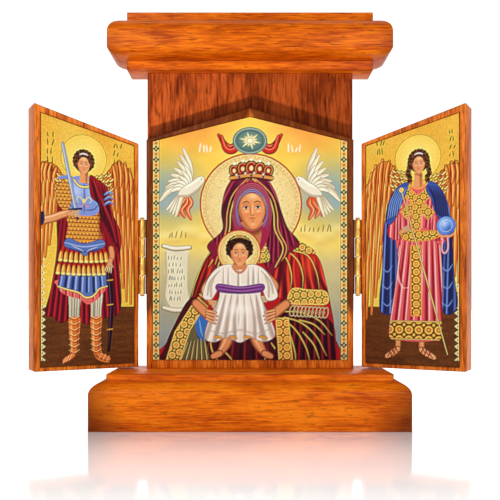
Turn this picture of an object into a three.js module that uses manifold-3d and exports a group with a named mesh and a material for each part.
// A small folding wooden triptych, in millimetres. +Z is up, the front faces -Y, and the
// origin is the centre of the base's underside. A gabled panel stands on a moulded base
// against a taller backboard, which carries a moulded cornice. Two gabled wings hang on
// the panel's sides by brass pin hinges, and swing between flat and folded over the panel.
import * as THREE from 'three';
import { mergeVertices } from 'three/addons/utils/BufferGeometryUtils.js';
import Module from 'manifold-3d';

const wasm = await Module();
wasm.setup();

// ---------------------------------------------------------------- driving dimensions
const WING_REST_DEG = 29; // how far each wing is folded forward from flat
const SEAT_GAP = 0.3; // kept between a piece and the recess that holds it

// A moulding is a bottom-to-top list of steps. A line step rises by `rise` at `out` beyond
// the fillets; an ovolo step runs a quarter of an ellipse between fillets and full width.
const BASE = { filletHalf: 71.9, filletFront: 29.3, out: 7.5, flat: 18, ovolo: 6, fillet: 3.5 };
const CORNICE = {
  filletHalf: 66.3, filletFront: 0.9, out: 9.1,
  lowFillet: 5.3, lowOvolo: 4.5, flat: 8.1, highOvolo: 8.1, topFillet: 5,
};
const OVOLO_STEPS = 10;

const BOARD = { half: 56, thick: 12, height: 161 };
const PANEL = { half: 56, thick: 4.2, shoulder: 123.7, apex: 140.8 };
const WING = { width: 55.4, thick: 12.6, inner: 121.2, outer: 136.2, lift: 0.9 };

// A picture is a thin sheet let into a shallow recess in its board's front.
const SHEET = { thick: 0.5, recess: 1 };
const CENTER_PICTURE = { half: 52.8, foot: 4.4, shoulder: 122.9, apex: 136.2 };
const WING_PICTURE = { innerMargin: 2.3, outerMargin: 3.4, foot: 2.1, innerTop: 1.9, outerTop: 3.5 };

// The hinge axis stands `proud` of the panel's front, between the panel and the wing.
const HINGE = {
  proud: 0.5, panelGap: 2.2, wingGap: 1.9, bottom: 40.2,
  knuckles: 4, knuckleHeight: 9.8, knuckleGap: 0.3, barrelR: 1.55, boreR: 0.82,
  leafThick: 0.7, leafDepth: 7, leafClear: 0.35,
  pinR: 0.65, headR: 1.25, headRim: 0.4, headDome: 0.6,
};
const ROUND_SEGMENTS = 32;
const DOME_STEPS = 4;

const CUT_PAST = 1; // how far a cutting solid reaches beyond the face it opens
const WELD = 1e-4; // corners closer than this are one

// ---------------------------------------------------------------- derived positions
const backDepth = PANEL.thick + BOARD.thick; // from the panel's front to the flat back
const baseHeight = BASE.flat + BASE.ovolo + BASE.fillet;
const baseFront = BASE.filletFront + BASE.out; // in front of the panel's front
const panelFront = (baseFront - backDepth) / 2; // y of the panel's front face
const backY = panelFront + backDepth;
const axisX = PANEL.half + HINGE.panelGap;
const axisY = panelFront - HINGE.proud;
const hingeHeight = HINGE.knuckles * HINGE.knuckleHeight + (HINGE.knuckles - 1) * HINGE.knuckleGap;

// ---------------------------------------------------------------- materials
function wood(color, roughness) {
  return new THREE.MeshStandardMaterial({ color, roughness, metalness: 0 });
}
const orangeWood = wood(0xd0661c, 0.35);
const redWood = wood(0x8a4526, 0.4);
const paint = new THREE.MeshStandardMaterial({ color: 0xd9a92f, roughness: 0.45, metalness: 0 });
const brass = new THREE.MeshStandardMaterial({ color: 0xc79a45, roughness: 0.35, metalness: 1 });

// ---------------------------------------------------------------- solids and meshes
function toSolid(geometry) {
  const bare = geometry.clone();
  bare.deleteAttribute('normal');
  bare.deleteAttribute('uv');
  const merged = mergeVertices(bare, WELD);
  return new wasm.Manifold(new wasm.Mesh({
    numProp: 3,
    vertProperties: new Float32Array(merged.attributes.position.array),
    triVerts: new Uint32Array(merged.index.array),
  }));
}

function fromSolid(solid) {
  const mesh = solid.getMesh();
  const geometry = new THREE.BufferGeometry();
  geometry.setAttribute('position', new THREE.BufferAttribute(new Float32Array(mesh.vertProperties), 3));
  geometry.setIndex(new THREE.BufferAttribute(new Uint32Array(mesh.triVerts), 1));
  return geometry;
}

function piece(name, geometry, material) {
  const mesh = new THREE.Mesh(geometry, material);
  mesh.name = name;
  return mesh;
}

function box(x0, x1, y0, y1, z0, z1) {
  const geometry = new THREE.BoxGeometry(x1 - x0, y1 - y0, z1 - z0);
  return geometry.translate((x0 + x1) / 2, (y0 + y1) / 2, (z0 + z1) / 2);
}

// An upright board: its outline is drawn in X and Z, and it runs from y0 back to y1.
function board(outline, y0, y1) {
  const shape = new THREE.Shape(outline.map(([x, z]) => new THREE.Vector2(x, z)));
  const geometry = new THREE.ExtrudeGeometry(shape, { depth: y1 - y0, bevelEnabled: false });
  return geometry.rotateX(Math.PI / 2).translate(0, y1, 0);
}

// ---------------------------------------------------------------- mouldings
// Profile points are [out, z]: how far beyond the fillets, and how high.
function ovolo(fromOut, toOut, z0, z1) {
  const points = [];
  for (let i = 1; i <= OVOLO_STEPS; i += 1) {
    const angle = (Math.PI / 2) * (i / OVOLO_STEPS);
    const swelling = toOut > fromOut;
    const across = swelling ? Math.sin(angle) : Math.cos(angle);
    const up = swelling ? 1 - Math.cos(angle) : Math.sin(angle);
    points.push([Math.min(fromOut, toOut) + Math.abs(toOut - fromOut) * across, z0 + (z1 - z0) * up]);
  }
  return points;
}

function baseProfile() {
  const { out, flat } = BASE;
  const shelf = flat + BASE.ovolo;
  return [[out, 0], [out, flat], ...ovolo(out, 0, flat, shelf), [0, baseHeight]];
}

function corniceProfile() {
  const { out, lowFillet, lowOvolo, flat, highOvolo, topFillet } = CORNICE;
  const bead = lowFillet + lowOvolo;
  const shoulder = bead + flat + highOvolo;
  return [
    [0, 0], [0, lowFillet], ...ovolo(0, out, lowFillet, bead),
    [out, bead + flat], ...ovolo(out, 0, bead + flat, shoulder), [0, shoulder + topFillet],
  ];
}

// A block moulded on its front and both ends, mitred at the corners, with a flat back.
function mouldedBlock(profile, half, front, back) {
  const ring = profile.map(([out, z]) => [
    new THREE.Vector3(-half - out, back, z), new THREE.Vector3(-half - out, front - out, z),
    new THREE.Vector3(half + out, front - out, z), new THREE.Vector3(half + out, back, z),
  ]);
  const corners = [];
  const quad = (a, b, c, d) => corners.push(a, b, c, a, c, d);
  const last = ring.length - 1;
  for (let i = 0; i < last; i += 1) {
    const [low, high] = [ring[i], ring[i + 1]];
    for (let side = 0; side < 3; side += 1) quad(low[side], low[side + 1], high[side + 1], high[side]);
  }
  quad(ring[0][3], ring[0][2], ring[0][1], ring[0][0]);
  quad(ring[last][0], ring[last][1], ring[last][2], ring[last][3]);
  const rim = [...ring.map((r) => r[3]), ...ring.map((r) => r[0]).reverse()];
  const fromBehind = rim.map((p) => new THREE.Vector2(-p.x, p.z));
  for (const [a, b, c] of THREE.ShapeUtils.triangulateShape(fromBehind, [])) {
    const turned = THREE.ShapeUtils.area([fromBehind[a], fromBehind[b], fromBehind[c]]) < 0;
    corners.push(rim[a], turned ? rim[c] : rim[b], turned ? rim[b] : rim[c]);
  }
  return mergeVertices(new THREE.BufferGeometry().setFromPoints(corners), WELD);
}

// ---------------------------------------------------------------- boards and pictures
function gable(x0, x1, foot, shoulder, apex) {
  return [[x0, foot], [x1, foot], [x1, shoulder], [(x0 + x1) / 2, apex], [x0, shoulder]];
}

// Height of the straight line through [x0, z0] and [x1, z1] at x.
function heightAt(x, [x0, z0], [x1, z1]) {
  return z0 + ((z1 - z0) * (x - x0)) / (x1 - x0);
}

// The board with a shallow recess for its picture, and the sheet that lies in it.
function recessed(outline, picture, thick, front) {
  const wall = toSolid(board(outline, front, front + thick));
  const pocket = toSolid(board(picture, front - CUT_PAST, front + SHEET.recess));
  return fromSolid(wall.subtract(pocket));
}

function sheet(picture, inset, front) {
  const floor = front + SHEET.recess - SEAT_GAP;
  const middle = (picture[0][0] + picture[1][0]) / 2;
  const cut = picture.map(([x, z], i) => [
    x === middle ? x : x + Math.sign(middle - x) * inset, z + (i < 2 ? inset : -inset),
  ]);
  return board(cut, floor - SHEET.thick, floor);
}

function centerPieces() {
  const outline = gable(-PANEL.half, PANEL.half, 0, PANEL.shoulder, PANEL.apex);
  const { half, foot, shoulder, apex } = CENTER_PICTURE;
  const picture = gable(-half, half, foot, shoulder, apex);
  return [
    piece('center_panel', recessed(outline, picture, PANEL.thick, panelFront), orangeWood),
    piece('center_icon', sheet(picture, SEAT_GAP, panelFront), paint),
  ];
}

// A wing as seen from the front when flat, with the hinge axis at x = 0. `side` is -1 for
// the left wing, which reaches towards -X, and 1 for the right one.
function wingOutline(side) {
  const inner = HINGE.wingGap;
  const outer = inner + WING.width;
  const corners = [[inner, WING.lift], [outer, WING.lift], [outer, WING.outer], [inner, WING.inner]];
  return drawn(corners, side);
}

function wingPicture(side) {
  const inner = HINGE.wingGap;
  const outer = inner + WING.width;
  const slope = (x) => heightAt(x, [inner, WING.inner], [outer, WING.outer]);
  const left = inner + WING_PICTURE.innerMargin;
  const right = outer - WING_PICTURE.outerMargin;
  const foot = WING.lift + WING_PICTURE.foot;
  const corners = [
    [left, foot], [right, foot],
    [right, slope(right) - WING_PICTURE.outerTop], [left, slope(left) - WING_PICTURE.innerTop],
  ];
  return drawn(corners, side);
}

// The corners run anticlockwise from the bottom left on either side.
function drawn(corners, side) {
  if (side > 0) return corners;
  const [a, b, c, d] = corners.map(([x, z]) => [-x, z]);
  return [b, a, d, c];
}

// ---------------------------------------------------------------- hinges
function tube(outer, inner, height) {
  const wall = [[inner, 0], [outer, 0], [outer, height], [inner, height], [inner, 0]];
  const points = wall.map(([r, z]) => new THREE.Vector2(r, z));
  return new THREE.LatheGeometry(points, ROUND_SEGMENTS).rotateX(Math.PI / 2);
}

function knuckleBottom(index) {
  return index * (HINGE.knuckleHeight + HINGE.knuckleGap);
}

// A leaf lies flat on a board's side edge, `gap` from the axis, behind the barrel. A tab
// joins it to each of its own knuckles. `side` is the way from the axis to the board.
function leaf(side, gap, seat, firstKnuckle) {
  const outer = side * (gap - seat);
  const inner = side * (gap - seat - HINGE.leafThick);
  const [x0, x1] = [Math.min(outer, inner), Math.max(outer, inner)];
  const plateFront = HINGE.barrelR + HINGE.leafClear;
  let solid = toSolid(box(x0, x1, plateFront, plateFront + HINGE.leafDepth, 0, hingeHeight));
  for (let index = firstKnuckle; index < HINGE.knuckles; index += 2) {
    const z = knuckleBottom(index);
    const top = z + HINGE.knuckleHeight;
    const ring = toSolid(tube(HINGE.barrelR, HINGE.boreR, HINGE.knuckleHeight).translate(0, 0, z));
    const tab = toSolid(box(x0, x1, 0, plateFront + HINGE.leafThick, z, top));
    const bore = toSolid(cylinder(HINGE.boreR, z - CUT_PAST, top + CUT_PAST));
    solid = solid.add(ring).add(tab).subtract(bore);
  }
  return fromSolid(solid);
}

function cylinder(radius, z0, z1) {
  const geometry = new THREE.CylinderGeometry(radius, radius, z1 - z0, ROUND_SEGMENTS);
  return geometry.rotateX(Math.PI / 2).translate(0, 0, (z0 + z1) / 2);
}

// The pin runs through all the knuckles, with a head beyond each end: a short rim under a
// dome. The outline is the upper head's, mirrored for the lower one.
function pin() {
  const headBottom = hingeHeight + HINGE.knuckleGap;
  const rimTop = headBottom + HINGE.headRim;
  const upper = [[HINGE.pinR, headBottom], [HINGE.headR, headBottom], [HINGE.headR, rimTop]];
  for (let i = 1; i < DOME_STEPS; i += 1) {
    const angle = (Math.PI / 2) * (i / DOME_STEPS);
    upper.push([HINGE.headR * Math.cos(angle), rimTop + HINGE.headDome * Math.sin(angle)]);
  }
  upper.push([0, rimTop + HINGE.headDome]);
  const lower = upper.map(([r, z]) => [r, hingeHeight - z]).reverse();
  const points = [...lower, ...upper].map(([r, z]) => new THREE.Vector2(r, z));
  return new THREE.LatheGeometry(points, ROUND_SEGMENTS).rotateX(Math.PI / 2);
}

// ---------------------------------------------------------------- assembly
function at(object, x, y, z) {
  object.position.set(x, y, z);
  return object;
}

// Everything that turns with one wing, in a group whose origin is on the hinge axis.
function wing(name, side) {
  const front = HINGE.proud;
  const outline = wingOutline(side);
  const picture = wingPicture(side);
  const group = new THREE.Group();
  group.add(
    piece(`${name}_wing`, recessed(outline, picture, WING.thick, front), orangeWood),
    piece(`${name}_icon`, sheet(picture, SEAT_GAP, front), paint),
    at(piece(`${name}_wing_leaf`, leaf(side, HINGE.wingGap, SEAT_GAP, 0), brass), 0, 0, HINGE.bottom),
  );
  group.position.set(side * axisX, axisY, baseHeight);
  group.rotation.z = -side * THREE.MathUtils.degToRad(WING_REST_DEG);
  return group;
}

// The half of the hinge that stays on the panel's side, with the pin.
function fixedHinge(name, side) {
  const pieces = [
    piece(`${name}_panel_leaf`, leaf(-side, HINGE.panelGap, 0, 1), brass),
    piece(`${name}_hinge_pin`, pin(), brass),
  ];
  return pieces.map((mesh) => at(mesh, side * axisX, axisY, baseHeight + HINGE.bottom));
}

const triptych = new THREE.Group();
const base = mouldedBlock(baseProfile(), BASE.filletHalf, panelFront - BASE.filletFront, backY);
triptych.add(piece('base', base, orangeWood));

const onBase = new THREE.Group();
onBase.position.z = baseHeight;
const backboard = box(-BOARD.half, BOARD.half, panelFront + PANEL.thick, backY, 0, BOARD.height);
onBase.add(piece('backboard', backboard, redWood), ...centerPieces());
triptych.add(onBase);

const cornice = mouldedBlock(corniceProfile(), CORNICE.filletHalf, panelFront - CORNICE.filletFront, backY);
triptych.add(at(piece('cornice', cornice, orangeWood), 0, 0, baseHeight + BOARD.height));
for (const [name, side] of [['left', -1], ['right', 1]]) {
  triptych.add(wing(name, side), ...fixedHinge(name, side));
}

export default triptych;
